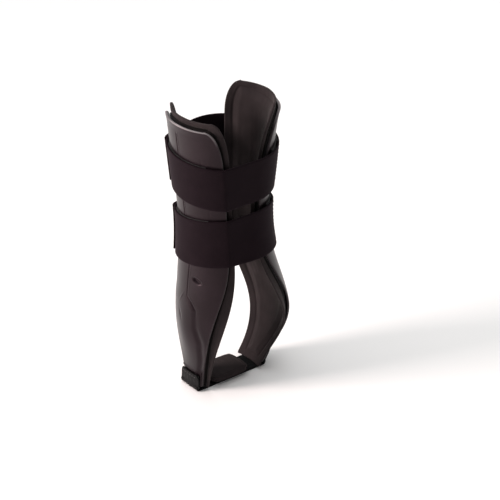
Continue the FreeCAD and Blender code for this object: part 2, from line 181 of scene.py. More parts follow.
def slabMesh(name, outer, inner, roundness=1.0, rings=4, uvGrid=None):
    # A closed slab: two grids, joined round their shared outline by a half ellipse whose
    # bulge is roundness times half the thickness.
    rows, columns = outer.shape[:2]
    count = rows * columns
    index = np.arange(count).reshape(rows, columns)
    loop = np.concatenate([index[0, :], index[1:, -1], index[-1, -2::-1], index[-2:0:-1, 0]])
    flow = np.zeros_like(outer)
    flow[0] += unit(outer[0] - outer[1])
    flow[-1] += unit(outer[-1] - outer[-2])
    flow[:, 0] += unit(outer[:, 0] - outer[:, 1])
    flow[:, -1] += unit(outer[:, -1] - outer[:, -2])
    top, bottom = outer.reshape(-1, 3), inner.reshape(-1, 3)
    away = unit(flow.reshape(-1, 3)[loop])
    middle, half = (top[loop] + bottom[loop]) / 2, (top[loop] - bottom[loop]) / 2
    depth = np.linalg.norm(half, axis=1, keepdims=True) * roundness
    turn = np.linspace(0, math.pi, rings + 2)[1:-1, None, None]
    rims = middle + half * np.cos(turn) + away * depth * np.sin(turn)
    points = np.concatenate([top, bottom, rims.reshape(-1, 3)])
    n = len(loop)
    chain = np.concatenate([loop[None], 2 * count + np.arange(rings * n).reshape(rings, n),
                            (loop + count)[None]])
    following = np.roll(chain, -1, axis=1)
    rim = np.stack([chain[:-1], following[:-1], following[1:], chain[1:]], -1).reshape(-1, 4)
    face = quads(rows, columns)
    faces = np.concatenate([face[:, ::-1], face + count, rim])
    faces = facingOut(points, faces)
    if uvGrid is None:
        s = alongRows(outer)
        uvGrid = np.stack([s - s[:, columns // 2, None], outer[..., 2]], -1)
    flat = uvGrid.reshape(-1, 2)
    uv = np.concatenate([flat, flat, np.tile(flat[loop], (rings, 1))])
    piece = makeMesh(name, points, faces, uv)
    edge = np.zeros(len(points), np.float32)   # 1 round the rim, fading over one row of faces
    edge[2 * count:] = 1
    edge[loop] = edge[loop + count] = 0.55
    piece.data.attributes.new("edge", "FLOAT", "POINT").data.foreach_set("value", edge)
    return piece


def ribbon(name, middle, thickness, roundness=0.7, rings=3, uvGrid=None):
    # A strap: a grid through the middle of its thickness, offset both ways along its normals.
    normal = gridNormals(middle) * thickness / 2
    return slabMesh(name, middle + normal, middle - normal, roundness, rings, uvGrid)


def stitchRow(name, path, lift, pitch=3.3, length=2.5, radius=0.26):
    # Thread along a path: each stitch is a short bar of six sides whose ends dip into the cloth.
    steps = np.concatenate([[0], np.cumsum(np.linalg.norm(np.diff(path, axis=0), axis=1))])
    count = max(int(steps[-1] / pitch), 1)
    at = (np.arange(count) + 0.5) * steps[-1] / count
    middle = np.stack([np.interp(at, steps, path[:, k]) for k in range(3)], -1)
    ahead = unit(np.stack([np.interp(at, steps, g) for g in np.gradient(path, axis=0).T], -1))
    up = unit(np.stack([np.interp(at, steps, g) for g in lift.T], -1))
    side = unit(np.cross(ahead, up))
    place = np.array([-0.5, -0.32, 0.32, 0.5]) * length
    size = np.array([0.4, 1, 1, 0.4]) * radius
    dip = np.array([-0.9, 0, 0, -0.9]) * radius
    turn = np.arange(6) * math.pi / 3
    cosine, sine = np.cos(turn)[:, None], np.sin(turn)[:, None]
    ring = side[:, None, None] * cosine + up[:, None, None] * sine
    points = middle[:, None, None] + ahead[:, None, None] * place[:, None, None]
    points = points + ring * size[:, None, None] + up[:, None, None] * dip[:, None, None]
    index = np.arange(24).reshape(4, 6)   # four rings of six
    walls = np.stack([index[:-1], np.roll(index, -1, 1)[:-1], np.roll(index, -1, 1)[1:],
                      index[1:]], -1).reshape(-1, 4)
    caps = np.array([[3, 2, 1, 0], [5, 4, 3, 0], [18, 19, 20, 21], [18, 21, 22, 23]])
    one = np.concatenate([walls, caps])
    one = facingOut(points.reshape(-1, 3), one)
    faces = (np.arange(count)[:, None, None] * index.size + one[None]).reshape(-1, 4)
    return makeMesh(name, points.reshape(-1, 3), faces)


# materials

def linear(hexColour):
    # sRGB hex to the linear colour that the shader takes.
    values = [int(hexColour[k:k + 2], 16) / 255 for k in (1, 3, 5)]
    return [v / 12.92 if v <= 0.04045 else ((v + 0.055) / 1.055) ** 2.4 for v in values] + [1.0]


def addNode(tree, kind, settings=None, **inputs):
    # Adds a node, sets its properties and its sockets, and links any socket given as an output.
    node = tree.nodes.new(kind)
    for key, value in (settings or {}).items():
        setattr(node, key, value)
    for key, value in inputs.items():
        socket = node.inputs[int(key[1:])] if key[0] == "i" and key[1:].isdigit() else (
            node.inputs[key.replace("_", " ")])
        if isinstance(value, bpy.types.NodeSocket):
            tree.links.new(value, socket)
        else:
            socket.default_value = value
    return node


def newMaterial(name, **fixed):
    material = bpy.data.materials.new(name)
    material.use_nodes = True
    tree = material.node_tree
    shader = tree.nodes["Principled BSDF"]
    for key, value in fixed.items():
        shader.inputs[key.replace("_", " ")].default_value = value
    return material, tree, shader


def colourRamp(tree, factor, stops):
    node = addNode(tree, "ShaderNodeValToRGB", None, Fac=factor)
    ramp = node.color_ramp
    while len(ramp.elements) < len(stops):
        ramp.elements.new(0.5)
    for element, (place, colour) in zip(ramp.elements, stops):
        element.position = place
        element.color = linear(colour)
    return node.outputs["Color"]


def finishMaterial(tree, shader, colour, height, distance, strength, roughness=None):
    bump = addNode(tree, "ShaderNodeBump", None, Height=height, Distance=distance * mm,
                   Strength=strength)
    tree.links.new(bump.outputs["Normal"], shader.inputs["Normal"])
    tree.links.new(colour, shader.inputs["Base Color"])
    if roughness is not None:
        tree.links.new(roughness, shader.inputs["Roughness"])


def perMm(size):
    # Pattern scale on coordinates in metres for a feature of this size in millimetres.
    return 1 / (size * mm)


def bandScale(size):
    # Scale of a wave texture whose bands repeat every 2 pi sizes, which is as coarse as ribs
    # have to be drawn to show.
    return perMm(size) / 20


# rim is the colour of a painted highlight along the shell's rim.
shellLook = dict(dark="#0f0a0d", mid="#140e11", light="#1b1418", rim="#8a8485",
                 grain=0.55, flow=38)


def mouldedPolypropylene():
    # Injection-moulded polypropylene: a satin skin with fine spark-erosion grain and faint
    # flow marks.
    material, tree, shader = newMaterial("mouldedPolypropylene", IOR=1.49, Specular_IOR_Level=0.2)
    shader.inputs["Specular Tint"].default_value = linear("#f8dce4")
    place = addNode(tree, "ShaderNodeTexCoord").outputs["Object"]
    flow = addNode(tree, "ShaderNodeTexNoise", None, Vector=place,
                   Scale=perMm(shellLook["flow"]), Detail=3.0, Roughness=0.55)
    grain = addNode(tree, "ShaderNodeTexNoise", None, Vector=place,
                    Scale=perMm(shellLook["grain"]), Detail=2.0, Roughness=0.6)
    colour = colourRamp(tree, flow.outputs["Fac"], [
        (0.3, shellLook["dark"]), (0.5, shellLook["mid"]), (0.72, shellLook["light"])])
    # A painted highlight: the trimmed rim is painted paler, in patches, where light catches it.
    rim = addNode(tree, "ShaderNodeAttribute", {"attribute_name": "edge"}).outputs["Fac"]
    highlightPatches = addNode(tree, "ShaderNodeMapRange", None, Value=flow.outputs["Fac"])
    highlightPatches.inputs["From Min"].default_value = 0.25
    highlightPatches.inputs["From Max"].default_value = 0.6
    highlightPatches.inputs["To Min"].default_value = 0.35
    rimHighlight = addNode(tree, "ShaderNodeMath", {"operation": "MULTIPLY"}, i0=rim,
                   i1=highlightPatches.outputs["Result"])
    colour = addNode(tree, "ShaderNodeMix", {"data_type": "RGBA"}, i0=rimHighlight.outputs["Value"],
                     i6=colour, i7=linear(shellLook["rim"])).outputs[2]
    gloss = addNode(tree, "ShaderNodeMapRange", None, Value=flow.outputs["Fac"])
    gloss.inputs["To Min"].default_value = 0.29
    gloss.inputs["To Max"].default_value = 0.38
    finishMaterial(tree, shader, colour, grain.outputs["Fac"], 0.05, 0.35, gloss.outputs["Result"])
    return material


strapLook = dict(dark="#090507", light="#0f090c", nap=0.5, patch=16)   # sizes in mm


def brushedLaminate():
    # Foam laminate faced with brushed nylon loop: matt, with a short nap that lies along the strap.
    material, tree, shader = newMaterial(
        "brushedLaminate", Sheen_Weight=0.04, Sheen_Roughness=0.5, Roughness=0.82,
        Specular_IOR_Level=0.12)
    shader.inputs["Sheen Tint"].default_value = linear("#b890a8")
    shader.inputs["Specular Tint"].default_value = linear("#ffd8ea")
    place = addNode(tree, "ShaderNodeUVMap", {"uv_map": "cloth"}).outputs["UV"]
    lay = addNode(tree, "ShaderNodeMapping", None, Vector=place)
    lay.inputs["Scale"].default_value = (0.35, 1.0, 1.0)
    nap = addNode(tree, "ShaderNodeTexNoise", None, Vector=lay.outputs["Vector"],
                  Scale=perMm(strapLook["nap"]), Detail=3.0, Roughness=0.7)
    patches = addNode(tree, "ShaderNodeTexNoise", None, Vector=place, Detail=2.0,
                      Scale=perMm(strapLook["patch"]))
    both = addNode(tree, "ShaderNodeMath", {"operation": "MULTIPLY_ADD"},
                   i0=nap.outputs["Fac"], i1=0.45)
    tree.links.new(patches.outputs["Fac"], both.inputs[2])
    colour = colourRamp(tree, both.outputs["Value"], [
        (0.45, strapLook["dark"]), (0.95, strapLook["light"])])
    finishMaterial(tree, shader, colour, nap.outputs["Fac"], 0.12, 0.5)
    return material


# The darkest colour here is painted shade for the gap where the cushion meets the shell's rim.
linerLook = dict(dark="#1e1819", light="#2e2728", gapShade="#040303",
                 loop=0.9, fuzz=0.6, wear=22)   # sizes in mm; a rib of loops is drawn coarse


def brushedTricot():
    # Brushed tricot knit over foam: soft and matt, with the knit's fine ribs just showing.
    material, tree, shader = newMaterial(
        "brushedTricot", Sheen_Weight=0.16, Sheen_Roughness=0.45, Roughness=0.88,
        Specular_IOR_Level=0.13)
    shader.inputs["Sheen Tint"].default_value = linear("#c9c0bc")
    place = addNode(tree, "ShaderNodeUVMap", {"uv_map": "cloth"}).outputs["UV"]
    knit = addNode(tree, "ShaderNodeTexWave", {"bands_direction": "X"}, Vector=place,
                   Scale=bandScale(linerLook["loop"]), Distortion=1.2, Detail=2.0)
    knit.inputs["Detail Scale"].default_value = 3.0
    fuzz = addNode(tree, "ShaderNodeTexNoise", None, Vector=place,
                   Scale=perMm(linerLook["fuzz"]), Detail=3.0, Roughness=0.7)
    wear = addNode(tree, "ShaderNodeTexNoise", None, Vector=place,
                   Scale=perMm(linerLook["wear"]), Detail=2.0)
    height = addNode(tree, "ShaderNodeMath", {"operation": "MULTIPLY_ADD"},
                     i0=knit.outputs["Fac"], i1=0.5)
    tree.links.new(fuzz.outputs["Fac"], height.inputs[2])
    shade = addNode(tree, "ShaderNodeMath", {"operation": "MULTIPLY_ADD"},
                    i0=fuzz.outputs["Fac"], i1=0.5)
    tree.links.new(wear.outputs["Fac"], shade.inputs[2])
    colour = colourRamp(tree, shade.outputs["Value"], [
        (0.45, linerLook["dark"]), (1.0, linerLook["light"])])
    # Painted shade: the cushion is painted near black along the shell's rim.
    gapShade = addNode(tree, "ShaderNodeAttribute", {"attribute_name": "gapShade"}).outputs["Fac"]
    colour = addNode(tree, "ShaderNodeMix", {"data_type": "RGBA"}, i0=gapShade, i6=colour,
                     i7=linear(linerLook["gapShade"])).outputs[2]
    finishMaterial(tree, shader, colour, height.outputs["Value"], 0.14, 0.5)
    return material


webbingLook = dict(dark="#060506", light="#0f0e0f", rib=1.1)   # rib in mm, drawn coarse


def wovenWebbing():
    # Woven nylon webbing: rounded ribs across the strap, with painted sheen lightening their tops.
    material, tree, shader = newMaterial(
        "wovenWebbing", Sheen_Weight=0.03, Sheen_Roughness=0.4, Roughness=0.7,
        Specular_IOR_Level=0.18)
    place = addNode(tree, "ShaderNodeUVMap", {"uv_map": "cloth"}).outputs["UV"]
    ribs = addNode(tree, "ShaderNodeTexWave", {"bands_direction": "Y"}, Vector=place,
                   Scale=bandScale(webbingLook["rib"]), Distortion=0.6, Detail=2.0)
    yarn = addNode(tree, "ShaderNodeTexWave", {"bands_direction": "X"}, Vector=place,
                   Scale=bandScale(webbingLook["rib"] * 0.55), Distortion=0.8, Detail=1.0)
    weave = addNode(tree, "ShaderNodeMath", {"operation": "MULTIPLY"},
                    i0=ribs.outputs["Fac"], i1=yarn.outputs["Fac"])
    # Painted sheen: the ribs' tops take the lighter colour.
    colour = colourRamp(tree, weave.outputs["Value"], [
        (0.05, webbingLook["dark"]), (0.8, webbingLook["light"])])
    finishMaterial(tree, shader, colour, weave.outputs["Value"], 0.25, 0.8)
    return material


tapeLook = dict(
    # darkest, lightest, then the pitch and depth of the cells in mm
    hookTape=("#0b0b0b", "#2b2a2a", 1.3, 0.3),
    loopTape=("#151314", "#2c282b", 0.8, 0.2),
)


def plainTape(name):
    # Hook or loop tape: rows of hooks, or a pile of loops, as cells of their real pitch.
    dark, light, pitch, depth = tapeLook[name]
    material, tree, shader = newMaterial(
        name, Roughness=0.75, Specular_IOR_Level=0.35, Sheen_Weight=0.1)
    place = addNode(tree, "ShaderNodeTexCoord").outputs["Object"]
    cells = addNode(tree, "ShaderNodeTexVoronoi", None, Vector=place, Scale=perMm(pitch),
                    Randomness=0.45)
    fuzz = addNode(tree, "ShaderNodeTexNoise", None, Vector=place, Scale=perMm(0.4), Detail=3.0)
    mix = addNode(tree, "ShaderNodeMath", {"operation": "MULTIPLY_ADD"},
                  i0=cells.outputs["Distance"], i1=0.8)
    tree.links.new(fuzz.outputs["Fac"], mix.inputs[2])
    colour = colourRamp(tree, mix.outputs["Value"], [(0.4, light), (1.0, dark)])
    finishMaterial(tree, shader, colour, mix.outputs["Value"], depth, 0.8)
    return material


threadLook = dict(dark="#1a1618", light="#352e33", twist=0.3)   # twist in mm


def spunThread():
    # Bonded polyester thread: small tight twists with a slight shine.
    material, tree, shader = newMaterial("spunThread", Roughness=0.5, Sheen_Weight=0.1)
    place = addNode(tree, "ShaderNodeTexCoord").outputs["Object"]
    twist = addNode(tree, "ShaderNodeTexNoise", None, Vector=place,
                    Scale=perMm(threadLook["twist"]), Detail=2.0)
    colour = colourRamp(tree, twist.outputs["Fac"], [
        (0.3, threadLook["dark"]), (0.7, threadLook["light"])])
    finishMaterial(tree, shader, colour, twist.outputs["Fac"], 0.05, 0.5)
    return material


plastic = mouldedPolypropylene()
laminate = brushedLaminate()
tricot = brushedTricot()
webbing = wovenWebbing()
hookTape, loopTape = plainTape("hookTape"), plainTape("loopTape")
thread = spunThread()
print("materials made")


def finishPiece(piece, material, body, slot, *nodes):
    piece.data.materials.clear()
    piece.data.materials.append(material)
    if body:
        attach(piece, body)
    if nodes:
        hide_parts(*nodes)
    return piece


# the outline that a side's layers share

outline = dict(
    # Rounded top corners; a power of 2 would make them quarter ellipses.
    frontWidth=12, frontHeight=38, frontPower=2.6,
    backWidth=12, backHeight=24, backPower=2.2,
    shellBottom=4, shellTop=252, padBottom=2.5, padTop=258, backMargin=4,
)


def roundedEdges(z, radius, front, back, top):
    # Draws the front and back edge angles in near the top, each by a rounded corner.
    o = outline
    upFront = np.clip((z - (top - o["frontHeight"])) / o["frontHeight"], 0, 1)
    upBack = np.clip((z - (top - o["backHeight"])) / o["backHeight"], 0, 1)
    front = front - o["frontWidth"] / radius * (1 - np.sqrt(1 - upFront ** o["frontPower"]))
    back = back - o["backWidth"] / radius * (1 - np.sqrt(1 - upBack ** o["backPower"]))
    return front, back


def plate(side, bottom, top, frontMargin, backMargin, inset, stepAcross, stepUp,
          fineUp=(), fineAcross=()):
    # phi and z of a grid that fills the outline, with its top corners rounded.
    c = curves[side]
    rise = spread(bottom + inset, top - inset, stepUp, fineUp + ((top - 2, 5, stepUp / 2),))
    z = rise[:, None]
    radius = c["radius"](z)
    front = np.radians(c["front"](z)) + (frontMargin(z) - inset) / radius
    back = np.radians(c["back"](z)) + (backMargin - inset) / radius
    front, back = roundedEdges(z, radius, front, back, top - inset)
    t = spread(0, 1, stepAcross / 80, fineAcross)[None, :]
    return -back + (front + back) * t, z + 0 * t


# shells

shell = dict(
    grooveHeight=[0, 11, 20, 34, 53, 68, 84, 89.5, 95, 110, 125, 144, 164, 219, 246],
    grooveAngle=[9, 10, 11, 15, 18, 15, 15.5, 10, 2, 2.5, 4.4, 1, -2.6, -2.8, -3],
    grooveDepth=0.65, grooveWidth=0.55, creaseDepth=1.15, creaseWidth=2.6,
    secondAngle=36, secondDepth=0.22, tickAngle=28.7, tickDepth=0.3,
    domeHeight=57, domeAngle=-1, domeRise=2.3, domeReach=(13, 26),
    portHeight=112, portAngle=17, portHalf=(4.3, 2.3), portTilt=18, portDepth=1.75,
    portSink=0.3, flare=0.5, foldRise=0.35, nickDepth=0.5,
    recessHeight=9.5, recessHalf=(11.4, 8.6), recessCorner=3,
    recessRise=0.7,
)


def shellRelief(side, phi, z):
    # Millimetres added to the moulded outer face.
    s = shell
    radius = curves[side]["radius"](z)
    along = radius * phi
    grooveAt = radius * np.radians(np.interp(z, s["grooveHeight"], s["grooveAngle"]))
    lean = np.gradient(grooveAt[:, 0]) / np.gradient(z[:, 0])
    away = (along - grooveAt) / np.sqrt(1 + lean[:, None] ** 2)
    line = smoothStep(82, 96, z) * smoothStep(245, 242, z)
    relief = -s["grooveDepth"] * ridge(away, s["grooveWidth"]) * line
    relief += 0.16 * ridge(away - 1.3, 0.7) * line
    low = smoothStep(98, 84, z) * smoothStep(6, 24, z)
    relief -= s["creaseDepth"] * ridge(away, s["creaseWidth"]) * low * (
        0.3 + 0.7 * smoothStep(80, 52, z))
    # A finer line joins the groove to the crease, and the skin steps up behind the crease.
    relief -= 0.3 * ridge(away, 0.6) * smoothStep(74, 82, z) * smoothStep(98, 90, z)
    relief += 0.5 * low * smoothStep(0, -4, away)
    reachAcross, reachUp = s["domeReach"]
    dome = ((along - radius * math.radians(s["domeAngle"])) / reachAcross) ** 2
    dome = dome + ((z - s["domeHeight"]) / reachUp) ** 2
    relief += s["domeRise"] * np.exp(-dome)
    second = along - radius * math.radians(s["secondAngle"])
    betweenStraps = smoothStep(160, 166, z) * smoothStep(202, 196, z)
    relief -= s["secondDepth"] * ridge(second, 0.6) * betweenStraps
    tick = along - radius * math.radians(s["tickAngle"])
    relief -= s["tickDepth"] * ridge(tick, 0.5) * smoothStep(214, 217, z) * smoothStep(228, 225, z)
    # Small pinches where the crease starts, each a bump or a dent that leans with it.
    nick = np.exp(-((along + 6.6 + 0.5 * (z - 75)) / 1.3) ** 2 - ((z - 75) / 3.5) ** 2)
    fold = np.exp(-((along + 6.4 - 0.6 * (z - 91)) / 0.9) ** 2 - ((z - 91) / 4.5) ** 2)
    relief += s["foldRise"] * fold - s["nickDepth"] * nick
    # The port: distance in tilted half widths, 1 at its edge.
    across, up = along - radius * math.radians(s["portAngle"]), z - s["portHeight"]
    tilt = math.radians(s["portTilt"])
    long = (across * math.cos(tilt) - up * math.sin(tilt)) / s["portHalf"][0]
    short = (across * math.sin(tilt) + up * math.cos(tilt)) / s["portHalf"][1]
    port = np.sqrt(long ** 2 + short ** 2)
    relief -= s["portDepth"] * smoothStep(1.0, 0.84, port) + s["portSink"] * smoothStep(
        1.35, 1.0, port)
    relief += 0.1 * ridge(port - 1.45, 0.16)
    # A raised lip round the place where the heel strap's end lies: distance to a rounded box.
    halfAcross, halfUp = s["recessHalf"]
    corner = s["recessCorner"]
    bx = np.maximum(np.abs(along + 1.2) - (halfAcross - corner), 0)
    bz = np.maximum(np.abs(z - s["recessHeight"]) - (halfUp - corner), 0)
    lip = np.sqrt(bx ** 2 + bz ** 2) - corner - 1.1
    relief += s["recessRise"] * ridge(lip, 0.6)
    return relief


def makeShell(side):
    # The outer face is the layer surface plus its relief, and the inner face is smooth.
    # Its rows close up at the port, the heel strap's lip and the crease, and its columns at the
    # port and the groove.
    o = outline
    phi, z = plate(side, o["shellBottom"], o["shellTop"], lambda h: 0 * h, 0, 0.9, 0.9, 1.5,
                   fineUp=((shell["portHeight"], 6, 0.35), (10, 12, 1.0), (90, 8, 1.2)),
                   fineAcross=((0.66, 0.06, 0.006), (0.46, 0.05, 0.006)))
    flare = shell["flare"] * smoothStep(o["shellTop"] - 7, o["shellTop"], z)
    outer = layerPoint(side, phi, z, shellRelief(side, phi, z) + flare)
    inner = layerPoint(side, phi, z, -layers["shell"] + flare)
    piece = slabMesh(side + "ShellSkin", outer, inner, 0.8, 5)
    # The painted rim highlight is kept mostly to the top of the rim, which faces the light.
    wear = piece.data.attributes["edge"].data
    rimHighlight, places = np.empty(len(wear), np.float32), np.empty(len(wear) * 3, np.float32)
    wear.foreach_get("value", rimHighlight)
    piece.data.vertices.foreach_get("co", places)
    height = places[2::3] / mm
    rimHighlight = rimHighlight * (0.1 + 0.9 * smoothStep(238, 249, height))
    wear.foreach_set("value", rimHighlight.astype(np.float32))
    finishPiece(piece, plastic, side + "_side", "shell", side + "_shell")


for side in ("lateral", "medial"):
    makeShell(side)
print("shells made")


# liners: a brushed backing, and a foam cushion in tricot with a welded border

liner = dict(
    backingInset=1.3, border=6.0, borderThickness=1.9, bodyThickness=4.0,
    weldDepth=0.6, weldAt=6.2, weldWidth=0.9, puckerDepth=0.22, pressDepth=0.8, pressWidth=0.9,
    pressure=4.0, frames=20, mostSwell=1.9, settle=0.85, acrossCells=22, upCells=72,
)


def edgeDistance(points):
    # How far each grid point is from the nearest edge of its own grid, along the grid.
    s = alongRows(points)
    h = alongRows(points.swapaxes(0, 1)).T
    sides = np.minimum(s, s[:, -1:] - s)
    ends = np.minimum(h, h[-1:] - h)
    d = np.minimum(sides, ends)
    blend = np.clip(0.5 + 0.5 * (sides - ends) / 6, 0, 1)   # rounds the border's inner corners
    return d - 1.5 * blend * (1 - blend) * (d < 40)


def swell(points, pinned, pressure, frames, mostSwell):
    # Blows a sheet of cloth out from its pinned border and gives how far each point moves.
    rows, columns = points.shape[:2]
    sheet = makeMesh("swellTrial", points.reshape(-1, 3), quads(rows, columns))
    group = sheet.vertex_groups.new(name="border")
    held = np.nonzero(pinned.ravel())[0]
    group.add(held.tolist(), 1.0, "REPLACE")
    cloth = sheet.modifiers.new("swell", "CLOTH")
    cloth.settings.quality = 6
    cloth.settings.mass = 0.1
    cloth.settings.tension_stiffness = cloth.settings.compression_stiffness = 12
    cloth.settings.shear_stiffness = 4
    cloth.settings.bending_stiffness = 0.4
    cloth.settings.vertex_group_mass = "border"
    cloth.settings.effector_weights.gravity = 0
    cloth.settings.use_pressure = True
    cloth.settings.uniform_pressure_force = pressure
    cloth.point_cache.frame_start, cloth.point_cache.frame_end = 1, frames
    scene = bpy.context.scene
    for step in range(1, frames + 1):
        scene.frame_set(step)
    shaped = sheet.evaluated_get(bpy.context.evaluated_depsgraph_get()).to_mesh()
    moved = np.empty(len(shaped.vertices) * 3, np.float32)
    shaped.vertices.foreach_get("co", moved)
    move = moved.reshape(rows, columns, 3) / mm - points
    scene.frame_set(1)
    bpy.data.objects.remove(sheet)
    far = np.linalg.norm(move, axis=-1, keepdims=True)
    return move * (mostSwell * np.tanh(far / mostSwell)) / np.maximum(far, 1e-6)


def resample(grid, rows, columns):
    # Linear resampling of a grid of vectors to other numbers of rows and columns.
    r = np.linspace(0, grid.shape[0] - 1, rows)
    c = np.linspace(0, grid.shape[1] - 1, columns)
    i = np.minimum(r.astype(int), grid.shape[0] - 2)
    j = np.minimum(c.astype(int), grid.shape[1] - 2)
    fr, fc = (r - i)[:, None, None], (c - j)[None, :, None]
    a, b = grid[i][:, j], grid[i][:, j + 1]
    d, e = grid[i + 1][:, j], grid[i + 1][:, j + 1]
    return (a * (1 - fc) + b * fc) * (1 - fr) + (d * (1 - fc) + e * fc) * fr


def rimLine(side, phi, z):
    # 1 where the shell's outline crosses the cushion, fading to 0 within a millimetre or so.
    c, top = curves[side], outline["shellTop"]
    radius = c["radius"](z)
    front, back = roundedEdges(
        z, radius, np.radians(c["front"](z)), np.radians(c["back"](z)), top)
    past = np.maximum(np.maximum((phi - front) * radius, (-phi - back) * radius), z - top)
    return smoothStep(-2.5, -0.6, past) * smoothStep(liner["pressWidth"] + 0.9, 0.6, past)


def makeLiner(side):
    # The cushion is thin at its border and thicker inside a welded groove, with small puckers
    # beside it.
    o, n = outline, liner
    depth = layers["shell"] + layers["patch"] + 2 * layers["gap"]
    phi, z = plate(side, o["padBottom"], o["padTop"], padMargin, o["backMargin"], 0.8, 0.9, 1.5)
    drawnIn = n["backingInset"]
    inside = plate(side, o["shellBottom"], o["shellTop"] - drawnIn, lambda h: 0 * h - drawnIn,
                   -drawnIn, 0.5, 2.0, 2.5)
    backingOuter = layerPoint(side, *inside, -depth)
    backingInner = layerPoint(side, *inside, -depth - layers["backing"])
    backing = slabMesh(side + "LinerBacking", backingOuter, backingInner, 0.6, 3)
    finishPiece(backing, loopTape, side + "_side", "backing", side + "_pad_backing")

    outerOffset = -depth - layers["backing"] - 0.05
    outer = layerPoint(side, phi, z, outerOffset)
    d = edgeDistance(outer)
    thick = n["borderThickness"] + (n["bodyThickness"] - n["borderThickness"]) * smoothStep(
        n["border"], n["border"] + 7, d)
    wave = np.sin(z / 7.5 + 1.3 * np.sin(z / 23)) * ridge(d - 8, 5)
    thick = thick - n["weldDepth"] * ridge(d - n["weldAt"], n["weldWidth"]) + (
        n["puckerDepth"] * wave)
    inner = layerPoint(side, phi, z, outerOffset - thick)
    # The shell's rim presses a narrow groove into the cushion's outer face; painted shade darkens
    # it.
    pressedAndShaded = rimLine(side, phi, z)
    outer = layerPoint(side, phi, z, outerOffset - n["pressDepth"] * pressedAndShaded)
    # The face towards the leg is blown out as cloth on a coarse grid, pinned along its weld.
    coarse = resample(inner, n["upCells"], n["acrossCells"])
    rim = edgeDistance(coarse) < n["border"] + 1.5
    order = slice(None, None, -signOf[side])   # so that both sheets face the same way
    puff = swell(coarse[:, order], rim[:, order], -n["pressure"], n["frames"], n["mostSwell"])
    puff = resample(puff[:, order], *inner.shape[:2])
    inner = inner + puff * smoothStep(n["border"], n["border"] + 5, d)[..., None] * n["settle"]
    moved = np.linalg.norm(puff, axis=-1)
    print(side, "liner swelled by up to", round(float(moved.max()), 2), "mm")
    cushion = slabMesh(side + "LinerCushion", outer, inner, 0.9, 5)
    # The pressed line is also painted dark, as painted shade.
    dark = np.zeros(len(cushion.data.vertices), np.float32)
    dark[:pressedAndShaded.size] = pressedAndShaded.ravel()
    cushion.data.attributes.new("gapShade", "FLOAT", "POINT").data.foreach_set("value", dark)
    finishPiece(cushion, tricot, side + "_side", "lining",
                side + "_pad_foam", side + "_pad_lining")


for side in ("lateral", "medial"):
    makeLiner(side)
print("liners made")


# straps

strapSize = dict(
    upper=dict(low=184, high=222.5, slope=0.098), lower=dict(low=125, high=167, slope=-0.105),
    foldGap=2.4, edgeInset=0.5,
    tabFold=40, tabEnd=6, rearEnd=-22, rearLap=-43,   # degrees round from sideways
    lapDrop=1.75, tabCorner=5.0, tabRadius=38, frontPoints=220, rearPoints=120,
)
bandOffset = layers["patch"] + 2 * layers["gap"] + layers["strap"] / 2
tailOffset = bandOffset + layers["grip"]


def strapRows(level, count=30):
    # Heights of the strap's rows at y = 0; each row then slopes along y.
    size, inset = strapSize[level], strapSize["edgeInset"]
    return np.linspace(size["low"] + inset, size["high"] - inset, count)[:, None]


def sloped(level, side, phi, rows, offset):
    # The strap's row heights depend on y, and y on the height, so the height is found twice.
    z = rows + 0 * phi
    for _ in range(3):
        y = layerPoint(side, phi, z, offset)[..., 1]
        z = rows + strapSize[level]["slope"] * y
    return layerPoint(side, phi, z, offset)


def smoothAlong(points, passes, lock=3):
    # Rounds a fold: each point moves towards the middle of its neighbours.
    for _ in range(passes):
        middle = (points[:, :-2] + points[:, 2:]) / 2
        moved = points.copy()
        moved[:, 1:-1] += 0.5 * (middle - points[:, 1:-1])
        moved[:, :lock], moved[:, -lock:] = points[:, :lock], points[:, -lock:]
        points = moved
    return points


def evenPath(points, count):
    # Resamples every row of a grid to evenly spaced points along it.
    want = np.linspace(0, 1, count)
    rows = [np.stack([np.interp(want * a[-1], a, row[:, k]) for k in range(3)], -1)
            for a, row in zip(alongRows(points), points)]
    return np.stack(rows)


def tailPath(level, turn, begin, medialEnd):
    # Round the lateral shell, straight off its edge to where that line touches the medial
    # shell's circle, and round the medial shell to the tail's end. turn is 1 for the front.
    rows = strapRows(level)
    edge = np.radians(curves["lateral"]["front" if turn > 0 else "back"](rows))
    t = np.linspace(0, 1, 60)[None, :]
    lateral = sloped(level, "lateral", begin + (turn * edge - begin) * t, rows, bandOffset)
    start = lateral[:, -1]
    m = curves["medial"]
    zMid = start[:, 2]
    centre = np.stack([m["side"](zMid) - m["radius"](zMid), m["centre"](zMid)], -1)
    radius = m["radius"](zMid) + tailOffset
    gap = start[:, :2] - centre
    far = np.linalg.norm(gap, axis=1)
    touch = np.arctan2(gap[:, 1], gap[:, 0]) + turn * np.arccos(radius / far)
    phiTouch = -touch[:, None]
    medial = sloped(level, "medial", phiTouch + (math.radians(medialEnd) - phiTouch) * t, rows,
                    tailOffset)
    between = np.linspace(0, 1, 50)[None, 1:-1, None]
    straight = start[:, None] + (medial[:, :1] - start[:, None]) * between
    return np.concatenate([lateral, straight, medial], axis=1)


def foldPlace(level, turn):
    # The middle of the fold at a tail's root, in metres.
    size = strapSize[level]
    z = (size["low"] + size["high"]) / 2
    c = curves["lateral"]
    radius = c["radius"](z) + bandOffset
    phi = math.radians(float(c["front" if turn > 0 else "back"](z))) + (
        strapSize["foldGap"] / 2) / radius
    point = layerPoint("lateral", turn * phi, np.array(float(z)), bandOffset)
    return point * mm


def blendFold(piece, level, turn):
    # Finds the middle of the fold at the tail's root, which is not used, and bakes the piece's
    # placement into its mesh.
    root = foldPlace(level, turn)
    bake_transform(piece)


def sewThrough(name, grid, column, body):
    # A row of stitches across a strap, on its outer face.
    line = grid[2:-2, column]
    up = gridNormals(grid)[2:-2, column]
    up = up * np.sign((up[:, :1] * line[:, :1]).mean())
    row = stitchRow(name, line + up * (layers["strap"] / 2 + 0.05), up)
    finishPiece(row, thread, body, "webbing")


